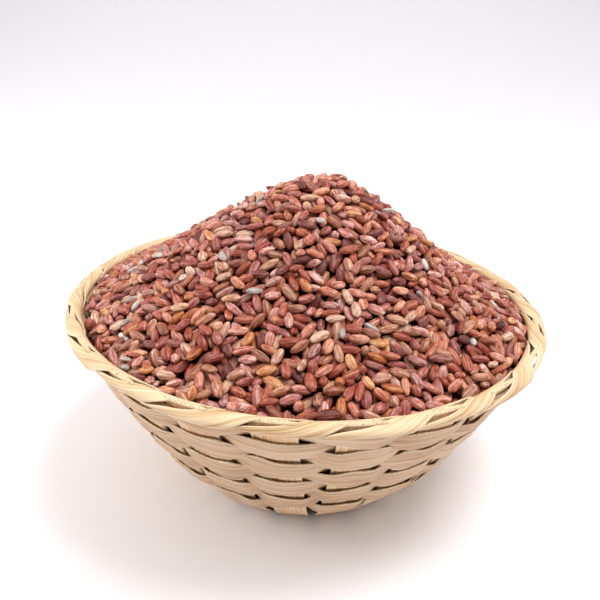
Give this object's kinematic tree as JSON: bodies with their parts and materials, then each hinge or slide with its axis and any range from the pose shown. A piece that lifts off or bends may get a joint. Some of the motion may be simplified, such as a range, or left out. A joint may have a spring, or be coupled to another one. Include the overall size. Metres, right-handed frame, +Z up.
{
  "type": "basket of rice",
  "caption": "Small round woven bamboo basket heaped with uncooked red rice, with a flared wall, a twined rim and a flat plaited base.",
  "frame": {"origin": "middle of the box round the basket, at the surface that it stands on", "axes": "+Z up, -Y towards the viewer of the picture, +X to the viewer's right"},
  "size_m": [0.1498, 0.15, 0.0985],
  "materials": {
    "stake_bamboo": "split bamboo strip, dull, fine lengthwise fibres, a little darker and more golden than the ribbons",
    "ribbon_bamboo": "shaved bamboo ribbon, pale straw, satin, fine lengthwise grain with paler edges",
    "rim_bamboo": "shaved bamboo ribbon, pale cream straw, satin, fine lengthwise grain",
    "red_rice": "dry unpolished red rice, satin bran with lengthwise ridges, from brick red to tan, with a few white and dark grains"
  },
  "bodies": {
    "root": {"strip_along_1": "stake_bamboo", "strip_along_2": "stake_bamboo", "strip_along_3": "stake_bamboo", "strip_along_4": "stake_bamboo", "strip_along_5": "stake_bamboo", "strip_along_6": "stake_bamboo", "strip_across_1": "stake_bamboo", "strip_across_2": "stake_bamboo", "strip_across_3": "stake_bamboo", "strip_across_4": "stake_bamboo", "strip_across_5": "stake_bamboo", "wall_ribbon_1": "ribbon_bamboo", "wall_ribbon_2": "ribbon_bamboo", "wall_ribbon_3": "ribbon_bamboo", "wall_ribbon_4": "ribbon_bamboo", "wall_ribbon_5": "ribbon_bamboo", "wall_ribbon_6": "ribbon_bamboo", "wall_ribbon_7": "ribbon_bamboo", "wall_ribbon_8": "ribbon_bamboo", "wall_ribbon_9": "ribbon_bamboo", "rim_ribbon_a": "rim_bamboo", "rim_ribbon_b": "rim_bamboo", "rice_heap": "red_rice"}
  },
  "joints": []
}
